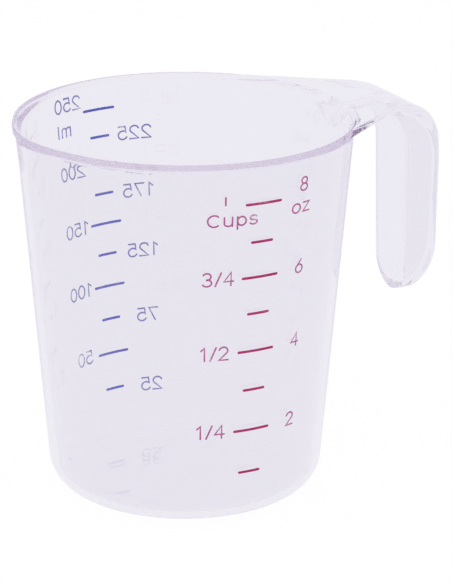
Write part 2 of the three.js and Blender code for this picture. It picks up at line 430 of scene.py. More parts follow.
@dataclass(frozen=True)
class ClearPlastic:
    """The jug's clear plastic: faintly tinted in its depth, and polished.

    Attributes:
        face: Colour that light takes on in passing one wall.
        clear: Share of the light that passes unscattered.
        tint: Colour that the depth takes light towards.
        density: How strongly it does so, per metre.
        refraction: Index of refraction.
        rough: Roughness of a clean, polished face.
        hazed: Roughness where handling has dulled it.
        haze_grain: Scale of the dulled specks, per metre.
        haze_bare: How much of the polish is missing in specks, from 0 to 1.
        grip_satin: Roughness of the handle.
        grip_start: Distances along the handle in metres between which the polish ends.
        lit: Colour of lamp light that has passed the plastic.
    """

    face: Colour = (0.945, 0.94, 0.96)
    clear: float = 1.0
    tint: Colour = (0.38, 0.15, 0.52)
    density: float = 1.45
    refraction: float = 1.5
    rough: float = 0.0
    hazed: float = 0.03
    haze_grain: float = 260.0
    haze_bare: float = 0.3
    grip_satin: float = 0.03
    grip_start: Point2 = (0.034, 0.046)
    lit: Colour = (0.94, 0.935, 0.955)

    def roughness(
        self, tree: bpy.types.NodeTree, patchy: bpy.types.NodeTree
    ) -> bpy.types.NodeSocket:
        """Returns the roughness: patchily dulled on the bowl, and satin on the handle.

        Args:
            tree: The node tree that takes the nodes.
            patchy: The node group that makes uneven cover.

        Returns:
            The socket with the roughness.
        """
        worn = {"Grain": self.haze_grain, "Bare": self.haze_bare}
        cover = add_node(tree, "Group", worn, node_tree=patchy)["Cover"]
        polish = {"Value": cover, "To Min": self.hazed, "To Max": self.rough}
        spot = add_node(tree, "TexCoord", {})["Object"]
        along = add_node(tree, "SeparateXYZ", {"Vector": spot})["X"]
        start, stop = self.grip_start
        reach = {"Value": along, "From Min": start, "From Max": stop}
        grip = add_node(tree, "MapRange", reach, interpolation_type="SMOOTHSTEP")["Result"]
        bowl = add_node(tree, "MapRange", polish)["Result"]
        return add_node(tree, "Mix", {"Factor": grip, "A": bowl, "B": self.grip_satin})["Result"]

    def material(self, patchy: bpy.types.NodeTree) -> bpy.types.Material:
        """Returns the plastic's material, which lets lamp light pass.

        Args:
            patchy: The node group that makes uneven cover.

        Returns:
            The new material.
        """
        made = new_material("clear_plastic")
        tree = made.node_tree
        shader = tree.nodes["Principled BSDF"]
        face = {
            "Base Color": self.face,
            "Roughness": self.roughness(tree, patchy),
            "IOR": self.refraction,
            "Transmission Weight": self.clear,
        }
        feed(tree, shader, face)
        rays = {
            "Fac": add_node(tree, "LightPath", {})["Is Shadow Ray"],
            1: shader.outputs["BSDF"],
            2: add_node(tree, "BsdfTransparent", {"Color": self.lit})["BSDF"],
        }
        depth = {"Color": self.tint, "Density": self.density}
        shown = {
            "Surface": add_node(tree, "MixShader", rays)["Shader"],
            "Volume": add_node(tree, "VolumeAbsorption", depth)["Volume"],
        }
        feed(tree, tree.nodes["Material Output"], shown)
        return made


def dress_piece(
    piece: bpy.types.Object, finish: bpy.types.Material, slot: str, node: str | None
) -> None:
    """Dresses a piece and ties it to the frame.

    Args:
        piece: The piece.
        finish: Its material.
        slot: The record's material slot.
        node: The CAD node that it stands for, if any.
    """
    piece.data.materials.clear()
    piece.data.materials.append(finish)
    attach(piece, BODY)
    if node is not None:
        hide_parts(node)
    LOG.info("%s: %d faces, %s", piece.name, len(piece.data.polygons), slot)


@dataclass(frozen=True)
class Bowl:
    """Sizes of the floor, wall, rim and pour lip."""

    height: float = 85.6
    base_radius: float = 30.6
    rim_radius: float = 37.6
    wall: float = 1.7
    rim_wall: float = 1.25
    floor: float = 1.6
    foot_round: float = 7.0
    bead_overhang: float = 0.4
    bead_height: float = 1.5
    bead_round: float = 0.8
    bead_inset: float = 0.36
    bead_foot_round: float = 0.3
    bead_foot_inset: float = 0.3
    mouth_bevel: float = 1.1
    mouth_depth: float = 1.9
    mouth_edge_round: float = 0.3
    mouth_blend: float = 2.5
    lip_reach: float = 0.9
    lip_depth: float = 12.0
    lip_half_angle: float = math.radians(28)

    def wall_radius(self, z: float) -> float:
        """Returns the outside radius of the wall at a height."""
        return self.base_radius + (self.rim_radius - self.base_radius) * z / self.height

    def inner_radius(self, z: float) -> float:
        """Returns the inside radius at a height; the wall thins a little towards the rim."""
        return self.wall_radius(z) - self.wall + (self.wall - self.rim_wall) * z / self.height

    @property
    def bead_radius(self) -> float:
        """Outside radius of the rim."""
        return self.rim_radius + self.bead_overhang

    @property
    def plate_foot(self) -> float:
        """Height of the underside of the rim and of the handle's plate."""
        return self.height - self.bead_height

    def drawn_out(self, point: Point3) -> Point3:
        """Returns a point of the wall moved out by the pour lip.

        Args:
            point: The point before.

        Returns:
            The point after.
        """
        x, y, z = point
        rise = ease(z, self.height - self.lip_depth, self.height)
        turn = abs(math.atan2(y, -x))
        radius = math.hypot(x, y)
        if rise == 0 or turn >= self.lip_half_angle or radius == 0:
            return point
        swell = math.cos(turn / self.lip_half_angle * math.pi / 2) ** 2
        growth = 1 + self.lip_reach * rise * swell / radius
        return (x * growth, y * growth, z)


@dataclass(frozen=True)
class Handle:
    """Sizes of the plate that flows out of the rim, and of the hollow grip that hangs from it."""

    bowl: Bowl
    flare_angle: float = math.radians(53)
    flare_fillet: float = 13.0
    neck_half: float = 11.5
    neck_corner: float = 10.0
    reach: float = 62.98
    grip_lean: float = 0.8
    grip_length: float = 48.0
    grip_depth: float = 10.6
    bend_radius: float = 16.0
    inner_bend_radius: float = 11.0
    grip_wall: float = 2.0
    tip_rise: float = 11.0
    tip_round: float = 14.0
    tip_heel: float = 4.2
    least_heel: float = 0.5
    tip_depth: float = 3.5
    grip_half: float = 8.0
    tip_half: float = 7.2
    side_wall: float = 1.8
    shoulder_fillet: float = 8.0
    plate_round: float = 0.72
    plate_round_within: float = 0.6
    edge_blend: float = 1.6
    edge_round: float = 1.4
    lip_round: float = 0.7
    hollow_round: float = 1.4
    grown_depth: float = 5.0
    gusset_root: float = 5.0
    gusset_tip: float = 1.2
    gusset_length: float = 16.0
    gusset_spread: float = 1.8
    gusset_hollow: float = 1.3
    gusset_fade: float = 2.0
    arc_step: float = math.radians(3)

    @property
    def end(self) -> float:
        """Height of the end of the grip."""
        return self.bowl.height - self.grip_length

    @property
    def face(self) -> float:
        """Distance from the jug's axis to the grip's open side, below the plate."""
        return self.reach - self.grip_depth

    @property
    def skirt_start(self) -> float:
        """Where the grip's sides begin to hang from the plate."""
        return self.face - self.inner_bend_radius

    def plan_half(self, x: float) -> float:
        """Returns half the handle's width seen from above, at a distance from the axis.

        Args:
            x: The distance.

        Returns:
            Half the width.
        """
        radius = self.bowl.bead_radius
        sine, cosine = math.sin(self.flare_angle), math.cos(self.flare_angle)
        neck = (radius - self.neck_half * sine) / cosine
        tangent = self.flare_fillet * math.tan((math.pi / 2 - self.flare_angle) / 2)
        middle = neck + tangent
        if x < neck - tangent * sine:
            return (radius - x * cosine) / sine
        if x < middle:
            drop = math.sqrt(self.flare_fillet**2 - (x - middle) ** 2)
            return self.neck_half + self.flare_fillet - drop
        corner = self.reach - self.neck_corner
        if x <= corner:
            return self.neck_half
        rest = max(self.neck_corner**2 - (x - corner) ** 2, 0.0)
        return self.neck_half - self.neck_corner + math.sqrt(rest)

    def end_half(self, z: float, inset: float = 0.0) -> float:
        """Returns half the grip's width seen from its end, at a height, set in by a wall.

        Args:
            z: The height.
            inset: Thickness of the wall, for the hollow.

        Returns:
            Half the width, without limit at the plate.
        """
        foot = self.bowl.plate_foot
        if z >= foot:
            return math.inf
        share = (z - self.end) / (foot - self.end)
        side = self.tip_half + (self.grip_half - self.tip_half) * share
        shoulder = foot - self.shoulder_fillet
        if z > shoulder:
            drop = math.sqrt(self.shoulder_fillet**2 - (z - shoulder) ** 2)
            return side + self.shoulder_fillet - drop - inset
        middle = self.end + self.tip_half
        if z < middle:
            rest = (self.tip_half - inset) ** 2 - (middle - z) ** 2
            return math.sqrt(max(rest, 0.0)) * side / self.tip_half
        return side - inset

    def outside(self, inset: float) -> list[Point2]:
        """Returns the line down the outside of the grip, as (x, z), set in by a wall.

        Args:
            inset: Thickness of the wall, for the hollow.

        Returns:
            Points along the line.
        """
        reach = self.reach - inset
        heel = self.face + self.grip_lean + self.tip_depth
        heel_round = max(self.tip_heel - inset, self.least_heel)
        slope = (self.reach - self.grip_lean - heel) / self.tip_rise
        return rounded_line(
            [
                (0.0, self.bowl.height - inset, 0.0),
                (reach, self.bowl.height - inset, self.bend_radius - inset),
                (reach - self.grip_lean, self.end + self.tip_rise, self.tip_round - inset),
                (heel - inset * (1 - slope), self.end + inset, heel_round),
                (self.face + self.grip_lean - inset, self.end + inset, 0.0),
            ],
            self.arc_step,
        )

    def inside(self) -> list[Point2]:
        """Returns the line along the plate's underside and down the grip's open side.

        Returns:
            Points along the line, as (x, z).
        """
        foot = self.bowl.plate_foot
        return rounded_line(
            [
                (0.0, foot, 0.0),
                (self.face, foot, self.inner_bend_radius),
                (self.face + self.grip_lean, self.end, 0.0),
            ],
            self.arc_step,
        )

    def gusset_drop(self, x: float, y: float) -> float:
        """Returns how far the web under the plate hangs down at a place.

        Args:
            x: Distance along the handle.
            y: Distance to the side.

        Returns:
            The depth of the web.
        """
        if x <= 0:
            return 0.0
        root = self.bowl.rim_radius - self.bowl.wall
        share = min(max((x - root) / self.gusset_length, 0.0), 1.0)
        size = self.gusset_root + (self.gusset_tip - self.gusset_root) * share
        off = min(abs(y) / (self.gusset_spread * size), 1.0)
        end = root + self.gusset_length
        fade = 1 - ease(x, end - self.gusset_fade, end + self.gusset_fade)
        return size * (1 - off * off) ** self.gusset_hollow * fade


@dataclass(frozen=True)
class Skirt:
    """One cut across the handle: where it lies, and its wall and edge sizes there."""

    origin: Point2
    inward: Point2
    depth: float
    top_wall: float
    side_wall: float
    top_round: float
    top_inset: float
    end_round: float
    end_inset: float
    inner_round: float
    hollow_half: float = math.inf


@dataclass(frozen=True)
class EdgePlan:
    """How the handle's edge is divided, and how far its roundings may reach.

    Attributes:
        corner: Points round the outer corner, and round the inner one.
        side: Points down the outside.
        end: Points round each side of the open edge.
        inner: Points up the inside.
        end_share: Most of the depth that the open edge's rounding takes.
        room_share: Most of the hollow's depth that an inner rounding takes.
        inset_share: Most of the half width that the outer corner's rounding takes.
    """

    corner: int = 8
    side: int = 12
    end: int = 6
    inner: int = 12
    end_share: float = 0.45
    room_share: float = 0.5
    inset_share: float = 0.6


EDGE = EdgePlan()


def edge_profile(half: Callable[[float], float], cut: Skirt) -> list[Point2]:
    """Returns one edge of the handle, from the outside over the edge to the inside.

    Args:
        half: Half width at a depth below the outside.
        cut: The sizes of the cut.

    Returns:
        Points as (half width, depth).
    """
    deep = cut.depth
    room = firm(deep - cut.top_wall)
    under = deep - room
    end = min(cut.end_round, EDGE.end_share * deep)
    end_in = firm(min(end, EDGE.room_share * room))
    corner_in = firm(min(cut.inner_round, EDGE.room_share * room))
    top = min(cut.top_round, deep - end)
    inset = min(cut.top_inset, EDGE.inset_share * half(0.0))

    def inner(q: float) -> float:
        """Returns half the width of the hollow at a depth."""
        return min(max(half(q) - cut.side_wall, 0.0), cut.hollow_half)

    first = max(half(0.0) - inset, 0.0)
    points = bent_corner((first, 0.0), (half(0.0), 0.0), (half(top), top), EDGE.corner)
    points += [(half(q), q) for q in spread(top, deep - end, EDGE.side)]
    foot = (max(half(deep) - min(cut.end_inset, end), inner(deep)), deep)
    points += bent_corner((half(deep - end), deep - end), (half(deep), deep), foot, EDGE.end)
    foot_in = (min(inner(deep) + end_in, foot[0]), deep)
    low, high = deep - end_in, under + corner_in
    points += bent_corner(foot_in, (inner(deep), deep), (inner(low), low), EDGE.end)
    points += [(inner(q), q) for q in spread(low, high, EDGE.inner)]
    last = (max(inner(under) - corner_in, 0.0), under)
    points += bent_corner((inner(high), high), (inner(under), under), last, EDGE.corner)
    return points


@dataclass
class Moulding:
    """The one clear moulding: bowl, rim, pour lip, plate and hollow grip in a single skin.

    Attributes:
        bowl: Sizes of the bowl.
        plastic: What it is made of.
        root_fillet: Largest fillet between the wall and the plate.
        root_share: Share of the plate's width there that the fillet may take.
        web_width: Width of plate at which the web under it is full.
        web_tilt: How far a cut has to face down to show the web.
        rim_half: Half width that a cut across the rim counts from, beyond all its roundings.
        columns_round: Columns round the rim, away from the handle.
        columns_flare: Columns along each flare.
        columns_plate: Columns across the plate.
        wall_rows: Rows up the wall, closer together towards the rim.
        crowding: How much closer they are there.
        plate_rows: Rows from the wall to the plate's edge.
        root_rows: Rows round the fillet between them.
        hub_rows: Rows across the floor, above and below.
        hub_gap: Distance from the outermost of these to the rounded foot.
        under_hub: Radius of the innermost row below.
        floor_hub: Radius of the innermost row above.
        neck_cuts: Cuts along the plate's straight.
        bend_cuts: Cuts round the bend.
        grip_cuts: Cuts down the grip.
        tip_cuts: Cuts at its end.
        tip_lead: How far above the end's slope those begin.
        foot_step: Largest turn between two rows round the foot.
        mouth_step: Largest turn between two rows round the mouth.
        sharp_angle: Edges that turn by more than this stay sharp.
    """

    bowl: Bowl = field(default_factory=Bowl)
    plastic: ClearPlastic = field(default_factory=ClearPlastic)
    root_fillet: float = 1.6
    root_share: float = 0.4
    web_width: float = 2.0
    web_tilt: float = 0.2
    rim_half: float = 2.0
    columns_round: int = 240
    columns_flare: int = 24
    columns_plate: int = 65
    wall_rows: int = 22
    crowding: float = 1.5
    plate_rows: int = 14
    root_rows: int = 6
    hub_rows: int = 5
    hub_gap: float = 2.0
    under_hub: float = 6.0
    floor_hub: float = 5.0
    neck_cuts: int = 9
    bend_cuts: int = 30
    grip_cuts: int = 26
    tip_cuts: int = 30
    tip_lead: float = 3.0
    foot_step: float = math.radians(6)
    mouth_step: float = math.radians(8)
    sharp_angle: float = math.radians(50)

    def __post_init__(self) -> None:
        """Sets up the handle that belongs to the bowl."""
        self.handle = Handle(self.bowl)
        self.outer_line = self.handle.outside(0.0)
        self.hollow_line = self.handle.outside(self.handle.grip_wall)
        self.inner_line = self.handle.inside()

    def rim_cut(self, flared: float) -> Skirt:
        """Returns the sizes of the edge of the rim, or of the plate where it has flared out of it.

        Args:
            flared: 0 at the rim, 1 where the plate has its own rounder edge.

        Returns:
            The cut across the edge.
        """
        bowl, plate = self.bowl, self.handle.plate_round

        def size(rim: float) -> float:
            """Returns a size between that of the rim and that of the plate."""
            return rim + (plate - rim) * flared

        return Skirt(
            origin=(0.0, bowl.height),
            inward=(0.0, -1.0),
            depth=bowl.bead_height,
            top_wall=bowl.bead_height,
            side_wall=size(bowl.bead_foot_inset),
            top_round=size(bowl.bead_round),
            top_inset=size(bowl.bead_inset),
            end_round=size(bowl.bead_foot_round),
            end_inset=size(bowl.bead_foot_inset),
            inner_round=0.0,
        )

    def rim_edge(self, azimuth: float) -> list[Point3]:
        """Returns the rounded edge of the rim or of the plate's flare at an azimuth.

        Args:
            azimuth: The azimuth.

        Returns:
            Points from the top over the edge to the underside.
        """
        handle = self.handle
        turn = math.remainder(azimuth, math.tau)
        facing = math.copysign(max(abs(turn), handle.flare_angle), turn)
        radius = self.bowl.bead_radius / math.cos(facing - turn)
        x, y = radius * math.cos(turn), radius * math.sin(turn)
        nx, ny = math.cos(facing), math.sin(facing)
        flared = min((radius - self.bowl.bead_radius) / handle.plate_round_within, 1.0)
        profile = edge_profile(lambda _: self.rim_half, self.rim_cut(flared))
        moved = [(half - self.rim_half, self.bowl.height - q) for half, q in profile]
        return [(x + nx * out, y + ny * out, z) for out, z in moved]

    def azimuths(self) -> tuple[list[float], list[float]]:
        """Returns the azimuths round the rim, and those across the handle's plate.

        Returns:
            Both lists of azimuths, in radians.
        """
        handle = self.handle
        start = handle.skirt_start
        side = math.atan2(handle.plan_half(start), start)
        leave = handle.flare_angle
        flare = spread(side, leave, self.columns_flare)
        around = spread(leave, math.tau - leave, self.columns_round)
        rim = flare[:-1] + around + [math.tau - a for a in reversed(flare[:-1])]
        return rim, spread(-side, side, self.columns_plate)

    def lower_column(self, azimuth: float, outer: Point3) -> list[Point3]:
        """Returns one column from the middle of the underside up the wall to the rim's edge.

        Args:
            azimuth: Where the column stands.
            outer: The last point of the rim's or plate's underside.

        Returns:
            The column's points.
        """
        bowl, handle = self.bowl, self.handle
        cosine, sine = math.cos(azimuth), math.sin(azimuth)
        foot = rounded_line(
            [
                (0.0, 0.0, 0.0),
                (bowl.base_radius, 0.0, bowl.foot_round),
                (bowl.wall_radius(bowl.height), bowl.height, 0.0),
            ],
            self.foot_step,
        )[1:-1]
        root = bowl.rim_radius
        width = math.hypot(outer[0], outer[1]) - root
        web = ease(width, 0.0, self.web_width)
        top = bowl.plate_foot - handle.gusset_drop(root * cosine, root * sine) * web
        fillet = firm(min(self.root_share * width, self.root_fillet))
        hub = spread(self.under_hub, foot[0][0] - self.hub_gap, self.hub_rows)
        profile = [(0.0, 0.0)] + [(r, 0.0) for r in hub] + foot
        low, high = foot[-1][1], top - fillet
        shares = [1 - (1 - s) ** self.crowding for s in spread(0.0, 1.0, self.wall_rows)][1:]
        profile += [(bowl.wall_radius(z), z) for z in (low + (high - low) * s for s in shares)]
        wall = bowl.wall_radius(top)
        side, edge = (bowl.wall_radius(high), high), (wall + fillet, top)
        profile += bent_corner(side, (wall, top), edge, self.root_rows)[1:-1]
        column = [(r * cosine, r * sine, z) for r, z in profile]
        for x, y in run((edge[0] * cosine, edge[0] * sine), outer[:2], self.plate_rows):
            column.append((x, y, bowl.plate_foot - handle.gusset_drop(x, y) * web))
        return column

    def upper_column(self, azimuth: float, outer: Point3) -> list[Point3]:
        """Returns one column from the rim's outer edge over the rim and down the inside.

        Args:
            azimuth: Where the column stands.
            outer: The first point of the rim's or plate's top.

        Returns:
            The column's points, ending in the middle of the floor.
        """
        bowl = self.bowl
        cosine, sine = math.cos(azimuth), math.sin(azimuth)
        radius = bowl.inner_radius(bowl.height)
        low = bowl.height - bowl.mouth_depth
        mouth = rounded_line(
            [
                (bowl.bead_radius, bowl.height, 0.0),
                (radius + bowl.mouth_bevel, bowl.height, bowl.mouth_edge_round),
                (bowl.inner_radius(low), low, bowl.mouth_blend),
                (bowl.inner_radius(0.0), 0.0, 0.0),
            ],
            self.mouth_step,
        )[1:-1]
        floor = rounded_line(
            [
                (radius, bowl.height, 0.0),
                (bowl.inner_radius(bowl.floor), bowl.floor, bowl.foot_round - bowl.wall),
                (0.0, bowl.floor, 0.0),
            ],
            self.foot_step,
        )[1:-1]
        start = (mouth[0][0] * cosine, mouth[0][0] * sine)
        column = [(x, y, bowl.height) for x, y in run(outer[:2], start, self.plate_rows)]
        top, bottom = mouth[-1][1], floor[0][1]
        shares = [s**self.crowding for s in spread(0.0, 1.0, self.wall_rows)][1:-1]
        heights = [top + (bottom - top) * s for s in shares]
        hub = spread(floor[-1][0] - self.hub_gap, self.floor_hub, self.hub_rows)
        profile = mouth[1:] + [(bowl.inner_radius(z), z) for z in heights] + floor
        profile += [(r, bowl.floor) for r in [*hub, 0.0]]
        return column + [(r * cosine, r * sine, z) for r, z in profile]

    def cuts(self) -> list[Skirt]:
        """Returns the cuts across the handle, from the plate round the bend to the grip's end.

        Returns:
            The cuts in order.
        """
        bowl, handle = self.bowl, self.handle
        centre_z = bowl.height - handle.bend_radius
        lean = math.atan2(handle.grip_lean, handle.grip_length - handle.tip_rise)
        centre_x = handle.reach - handle.bend_radius * math.tan((math.pi / 2 + lean) / 2)
        neck = spread(handle.skirt_start, centre_x, self.neck_cuts)[1:-1]
        places = [((x, bowl.height), (0.0, -1.0)) for x in neck]
        for turn in spread(0.0, math.pi / 2, self.bend_cuts):
            way = (math.sin(turn), math.cos(turn))
            place = (centre_x + handle.bend_radius * way[0], centre_z + handle.bend_radius * way[1])
            places.append((place, (-way[0], -way[1])))
        tip = handle.end + handle.tip_rise + self.tip_lead
        heights = spread(centre_z, tip, self.grip_cuts)[1:]
        shares = spread(1.0, 0.0, self.tip_cuts)[1:-1]
        heights += [handle.end + (tip - handle.end) * s**2 for s in shares]
        places += [((x_at(self.outer_line[2:], z), z), (-1.0, 0.0)) for z in heights]
        return [self.cut_at(place, way) for place, way in places]

    def cut_at(self, place: Point2, way: Point2) -> Skirt:
        """Returns the cut that starts at a place of the handle's outside and runs inward.

        Args:
            place: The place, as (x, z).
            way: The direction inward, of length 1.

        Returns:
            The cut.
        """
        bowl, handle = self.bowl, self.handle
        depth = reach_along(self.inner_line, place, way)
        grown = ease(depth, bowl.bead_height, handle.grown_depth)

        def size(plate: float, grip: float) -> float:
            """Returns a size between that of the plate and that of the grip."""
            return plate + (grip - plate) * grown

        top_wall = size(bowl.bead_height, handle.grip_wall)
        edge_round = size(handle.plate_round, handle.edge_round)
        lip_round = size(handle.plate_round, handle.lip_round)
        hollow_half = math.inf
        if way[1] == 0:
            closed = place[1] <= handle.end + handle.grip_wall
            back = self.inner_x(place[1]) if closed else x_at(self.hollow_line[2:], place[1])
            top_wall = min(max(place[0] - back, 0.0), depth)
            hollow_half = handle.end_half(place[1], handle.side_wall)
        return Skirt(
            origin=place,
            inward=way,
            depth=depth,
            top_wall=min(top_wall, depth),
            side_wall=size(handle.plate_round, handle.side_wall),
            top_round=edge_round,
            top_inset=edge_round,
            end_round=lip_round,
            end_inset=lip_round,
            inner_round=handle.hollow_round * grown,
            hollow_half=hollow_half,
        )

    def inner_x(self, z: float) -> float:
        """Returns the distance from the axis to the grip's open side at a height."""
        return x_at(self.inner_line[2:], z)

    def ring(self, cut: Skirt) -> list[Point3]:
        """Returns the closed ring of points of one cut, starting at the left of its outside.

        Args:
            cut: The cut.

        Returns:
            The ring's points.
        """
        handle = self.handle
        px, pz = cut.origin
        nx, nz = cut.inward

        def half(q: float) -> float:
            """Returns half the handle's width at a depth of the cut."""
            plan, end = handle.plan_half(px + nx * q), handle.end_half(pz + nz * q)
            return max(soft_min(plan, end, handle.edge_blend), 0.0)

        def put(y: float, q: float) -> Point3:
            """Returns the point at a half width and a depth of the cut."""
            return (px + nx * q, y, pz + nz * q)

        edge = edge_profile(half, cut)
        right = [put(y, q) for y, q in edge]
        left = [put(-y, q) for y, q in edge]
        top = [put(y, 0.0) for y in spread(-edge[0][0], edge[0][0], self.columns_plate)]
        last, depth = edge[-1]
        under = []
        for y in spread(last, -last, self.columns_plate):
            hang = handle.gusset_drop(px + nx * depth, y) if nz < -self.web_tilt else 0.0
            under.append(put(y, depth + hang))
        return top + right + under + left[::-1]

    def build(self) -> bpy.types.Object:
        """Returns the moulding as one closed, smooth object.

        Returns:
            The new object.
        """
        maker = MeshMaker("clear_jug_moulding")
        rim, plate = self.azimuths()
        edges = [self.rim_edge(a) for a in rim]
        edge_rows = [maker.add_row([self.bowl.drawn_out(p) for p in e]) for e in edges]
        lower = [self.lower_column(a, e[-1]) for a, e in zip(rim, edges)]
        upper = [self.upper_column(a, e[0]) for a, e in zip(rim, edges)]
        lower_rows = [maker.add_row([self.bowl.drawn_out(p) for p in c]) for c in lower]
        upper_rows = [maker.add_row([self.bowl.drawn_out(p) for p in c]) for c in upper]
        for rows in (edge_rows, lower_rows, upper_rows):
            for a, b in pairwise(rows):
                maker.bridge(a, b)

        start = self.handle.skirt_start
        tops = spread(edges[-1][0][1], edges[0][0][1], self.columns_plate)
        feet = spread(edges[-1][-1][1], edges[0][-1][1], self.columns_plate)
        over = [(start, y, self.bowl.height) for y in tops]
        under = [(start, y, self.bowl.plate_foot) for y in feet]
        over[0], over[-1] = edges[-1][0], edges[0][0]
        under[0], under[-1] = edges[-1][-1], edges[0][-1]
        plate_lower = [maker.add_row(self.lower_column(a, p)) for a, p in zip(plate, under)]
        plate_upper = [maker.add_row(self.upper_column(a, p)) for a, p in zip(plate, over)]
        for rows in (plate_lower, plate_upper):
            for a, b in pairwise(rows):
                maker.bridge(a, b)

        ring = [row[0] for row in plate_upper] + edge_rows[0]
        ring += [row[-1] for row in reversed(plate_lower)] + edge_rows[-1][::-1]
        for cut in self.cuts():
            following = maker.add_row(self.ring(cut))
            maker.bridge(ring, following, closed=True)
            ring = following
        end = (self.inner_x(self.handle.end), 0.0, self.handle.end)
        tip = maker.add_row([end] * len(ring))
        maker.bridge(ring, tip, closed=True)
        return maker.finish(self.sharp_angle)

    def dress(self, piece: bpy.types.Object, patchy: bpy.types.NodeTree) -> None:
        """Gives the moulding its plastic, with wear from the shared group."""
        dress_piece(piece, self.plastic.material(patchy), "clear_plastic", "jug_body")


class Glyph(Enum):
    """The printed figures and letters."""

    ZERO = "0"
    ONE = "1"
    TWO = "2"
    THREE = "3"
    FOUR = "4"
    FIVE = "5"
    SIX = "6"
    SEVEN = "7"
    EIGHT = "8"
    SLASH = "/"
    CAP_C = "C"
    LOW_U = "u"
    LOW_P = "p"
    LOW_S = "s"
    LOW_O = "o"
    LOW_Z = "z"
    LOW_M = "m"
    LOW_L = "l"


ARC_STEP = 15  # largest turn in degrees between two points of a printed curve


def clipped(path: Sequence[Point2], top: float) -> list[Point2]:
    """Returns the part of a stroke below a height, cut where it crosses it.

    Args:
        path: Middle line of the stroke.
        top: The height.

    Returns:
        The points that are left.
    """
    kept: list[Point2] = []
    for a, b in pairwise(path):
        if a[1] <= top:
            kept.append(a)
        if (a[1] <= top) != (b[1] <= top):
            kept.append(between(a, b, (top - a[1]) / (b[1] - a[1])))
    return kept + ([path[-1]] if path[-1][1] <= top else [])


def arc(cx: float, cy: float, rx: float, ry: float, start: float, stop: float) -> list[Point2]:
    """Returns points along part of an ellipse.

    Args:
        cx: Middle, across.
        cy: Middle, up.
        rx: Half width.
        ry: Half height.
        start: First angle in degrees, 0 to the right, rising anticlockwise.
        stop: Last angle in degrees.

    Returns:
        The points.
    """
    count = max(3, math.ceil(abs(stop - start) / ARC_STEP) + 1)
    turns = [math.radians(a) for a in spread(start, stop, count)]
    return [(cx + rx * math.cos(a), cy + ry * math.sin(a)) for a in turns]


# Middle lines of the strokes, in a cell 1 high that starts at 0, 0
STROKES: dict[Glyph, list[list[Point2]]] = {
    Glyph.ZERO: [arc(0.3, 0.5, 0.28, 0.5, 90, 450)],
    Glyph.ONE: [[(0.08, 0.78), (0.3, 1.0), (0.3, 0.0)]],
    Glyph.TWO: [arc(0.3, 0.72, 0.27, 0.28, 165, -35) + [(0.03, 0.0), (0.6, 0.0)]],
    Glyph.THREE: [arc(0.28, 0.75, 0.25, 0.25, 150, -90) + arc(0.28, 0.26, 0.29, 0.26, 90, -150)],
    Glyph.FOUR: [[(0.46, 0.0), (0.46, 1.0), (0.02, 0.3), (0.62, 0.3)]],
    Glyph.FIVE: [[(0.54, 1.0), (0.12, 1.0), (0.07, 0.55)] + arc(0.28, 0.33, 0.29, 0.33, 120, -150)],
    Glyph.SIX: [[(0.46, 1.0), (0.2, 0.66)] + arc(0.3, 0.31, 0.28, 0.31, 150, 510)],
    Glyph.SEVEN: [[(0.02, 1.0), (0.58, 1.0), (0.2, 0.0)]],
    Glyph.EIGHT: [arc(0.3, 0.76, 0.23, 0.24, 270, 630), arc(0.3, 0.26, 0.28, 0.26, 98, 458)],
    Glyph.SLASH: [[(0.04, 0.0), (0.4, 1.0)]],
    Glyph.CAP_C: [arc(0.36, 0.5, 0.34, 0.5, 50, 310)],
    Glyph.LOW_U: [
        [(0.05, 0.76), (0.05, 0.26)] + arc(0.27, 0.25, 0.22, 0.25, 180, 360) + [(0.49, 0.76)],
        [(0.49, 0.4), (0.49, 0.0)],
    ],
    Glyph.LOW_P: [[(0.05, 0.76), (0.05, -0.3)], arc(0.29, 0.38, 0.24, 0.38, 180, 540)],
    Glyph.LOW_S: [arc(0.23, 0.57, 0.19, 0.19, 30, 270) + arc(0.23, 0.19, 0.21, 0.19, 90, -150)],
    Glyph.LOW_O: [arc(0.29, 0.38, 0.27, 0.38, 90, 450)],
    Glyph.LOW_Z: [[(0.04, 0.76), (0.46, 0.76), (0.03, 0.0), (0.48, 0.0)]],
    Glyph.LOW_M: [
        [(0.05, 0.76), (0.05, 0.0)],
        arc(0.22, 0.56, 0.17, 0.2, 180, 0) + [(0.39, 0.0)],
        arc(0.56, 0.56, 0.17, 0.2, 180, 0) + [(0.73, 0.0)],
    ],
    Glyph.LOW_L: [[(0.08, 1.0), (0.08, 0.0)]],
}

# Width of a cell with the gap after it, where it isn't the figures' own
FIGURE_ADVANCE = 0.76
LETTER_GAP = 0.16
ADVANCE: dict[Glyph, float] = {
    Glyph.ONE: 0.62,
    Glyph.SLASH: 0.56,
    Glyph.CAP_C: 0.86,
    Glyph.LOW_U: 0.72,
    Glyph.LOW_P: 0.72,
    Glyph.LOW_S: 0.5,
    Glyph.LOW_O: 0.74,
    Glyph.LOW_Z: 0.5,
    Glyph.LOW_M: 0.96,
    Glyph.LOW_L: 0.16,
}


@dataclass(frozen=True)
class Label:
    """One printed word or figure beside a line.

    Attributes:
        name: Name of its piece.
        text: What it reads.
        across: Its middle, along the wall from the middle of the scale.
        up: Its middle, above the line that it belongs to.
        line: The marked volume of that line, in millilitres.
        tall: Height of its capitals and figures.
        wide: Width of a square letter cell.
        inked: Share of its height that took the foil, from below.
    """

    name: str
    text: str
    across: float
    up: float
    line: float
    tall: float = 3.02
    wide: float = 3.5
    inked: float = 1.0


